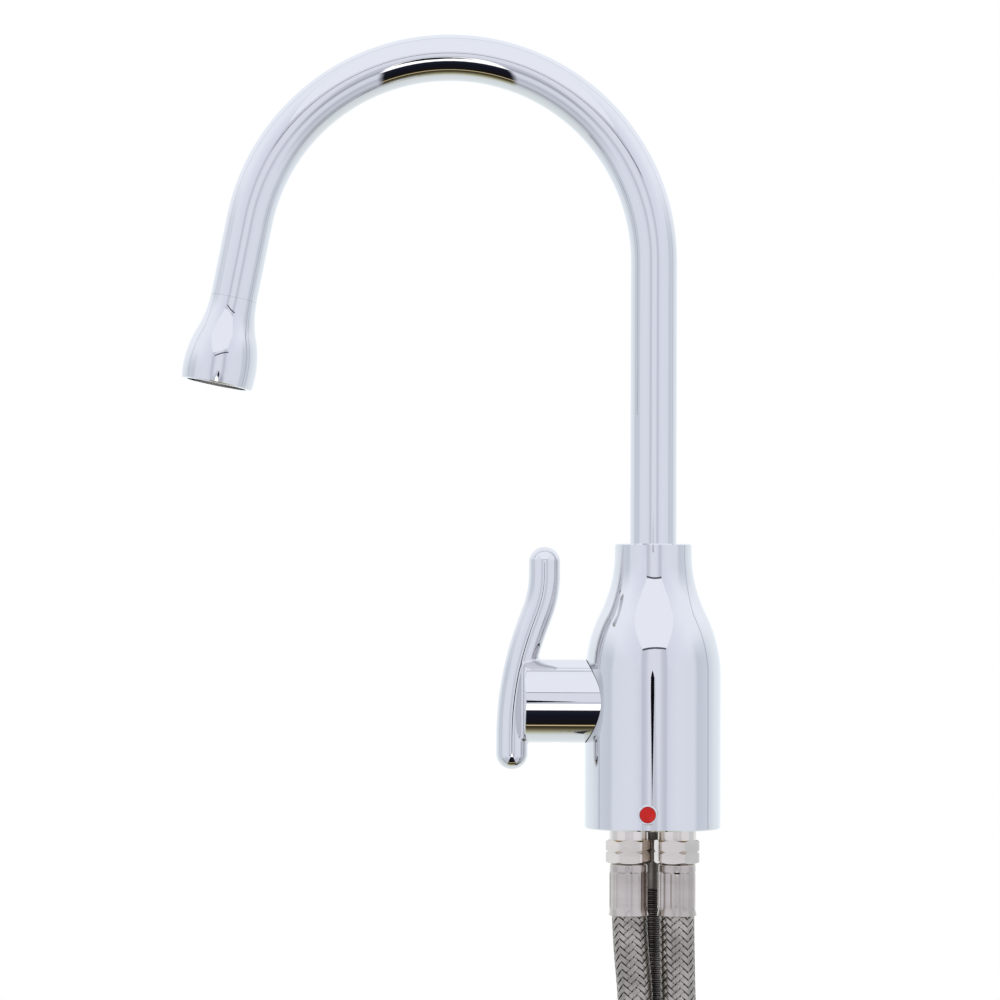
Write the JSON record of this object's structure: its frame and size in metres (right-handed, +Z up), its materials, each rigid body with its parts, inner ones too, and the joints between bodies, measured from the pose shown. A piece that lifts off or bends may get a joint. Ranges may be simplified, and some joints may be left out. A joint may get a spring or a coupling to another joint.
{
  "type": "boiling water tap",
  "caption": "Deck-mounted boiling water tap with swivelling gooseneck spout, side lever on a ceramic valve, braided tails and a stud clamp.",
  "frame": {"origin": "centre of the underside of the tap body, where it stands on the worktop", "axes": "+Z up along the body and riser; spout and lever point to -X at rest; the user stands at -Y"},
  "size_m": [0.1917, 0.0488, 0.5628],
  "materials": {
    "chrome": "polished bright chrome plate",
    "brass": "machined brass",
    "nickel": "nickel-plated brass, fine turned",
    "stainless": "satin stainless",
    "braid": "braided stainless wire over rubber",
    "stud_steel": "dark zinc-plated steel thread",
    "plate_steel": "zinc-plated pressed steel",
    "spring_steel": "spring steel",
    "rubber": "black EPDM rubber",
    "silicone": "translucent silicone",
    "red_index": "gloss red ABS",
    "white_plastic": "white acetal",
    "ceramic": "lapped alumina ceramic"
  },
  "bodies": {
    "tap_body": {"body_shell": "chrome", "valve_block": "brass", "base_seal": "rubber", "index_bezel": "chrome", "index_button": "red_index", "shell_screw": "stainless", "slip_washer": "white_plastic", "spout_bush": "white_plastic", "seat_seal": "rubber", "ceramic_disc_fixed": "ceramic", "valve_cage": "brass", "gland_nut": "brass", "tail_o_rings": "rubber", "fixing_stud": "stud_steel", "hose_tail_left": "nickel", "hose_ferrule_left": "stainless", "hose_left": "braid", "end_ferrule_left": "stainless", "end_insert_left": "nickel", "end_washer_left": "rubber", "hose_tail_right": "nickel", "hose_ferrule_right": "stainless", "hose_right": "braid", "end_ferrule_right": "stainless", "end_insert_right": "nickel", "end_washer_right": "rubber"},
    "spout": {"spout_tube": "chrome", "spout_liner": "silicone", "spout_spigot": "brass", "spout_o_rings": "rubber", "spout_snap_ring": "spring_steel", "nozzle_shell": "chrome", "nozzle_adaptor": "brass", "nozzle_o_ring": "rubber", "aerator_washer": "rubber", "aerator_cage": "nickel", "flow_straightener": "white_plastic"},
    "lever_set": {"lever": "chrome", "lever_plug": "chrome", "lever_screw": "stainless", "spindle": "brass", "spindle_o_ring": "rubber", "ceramic_disc_moving": "ceramic"},
    "clamp": {"clamp_rubber": "rubber", "clamp_plate": "plate_steel"},
    "clamping_nut": {"clamp_nut": "plate_steel"},
    "nut_left": {"hose_nut_left": "nickel"},
    "nut_right": {"hose_nut_right": "nickel"}
  },
  "joints": [
    {"name": "spout_swivel", "type": "hinge", "parent": "tap_body", "child": "spout", "pos_m": [0, 0, 0.09], "axis": [0, 0, 1], "continuous": true},
    {"name": "lever_turn", "type": "hinge", "parent": "tap_body", "child": "lever_set", "pos_m": [0, 0, 0.0432], "axis": [1, 0, 0], "range_deg": [0, 90]},
    {"name": "clamp_slide", "type": "slide", "parent": "tap_body", "child": "clamp", "axis": [0, 0, 1], "range_m": [0, 0.049]},
    {"name": "clamp_nut_turn", "type": "hinge", "parent": "clamp", "child": "clamping_nut", "pos_m": [0, 0.012, -0.075], "axis": [0, 0, 1], "range_deg": [0, 11761]},
    {"name": "nut_left_spin", "type": "hinge", "parent": "tap_body", "child": "nut_left", "pos_m": [-0.0175, -0.0025, -0.285], "axis": [0, 0, 1], "continuous": true},
    {"name": "nut_right_spin", "type": "hinge", "parent": "tap_body", "child": "nut_right", "pos_m": [0.0179, 0.0005, -0.285], "axis": [0, 0, 1], "continuous": true}
  ],
  "couplings": [
    {"joint": "clamp_nut_turn", "follows": "clamp_slide", "rad_per_m": 4188.8}
  ]
}
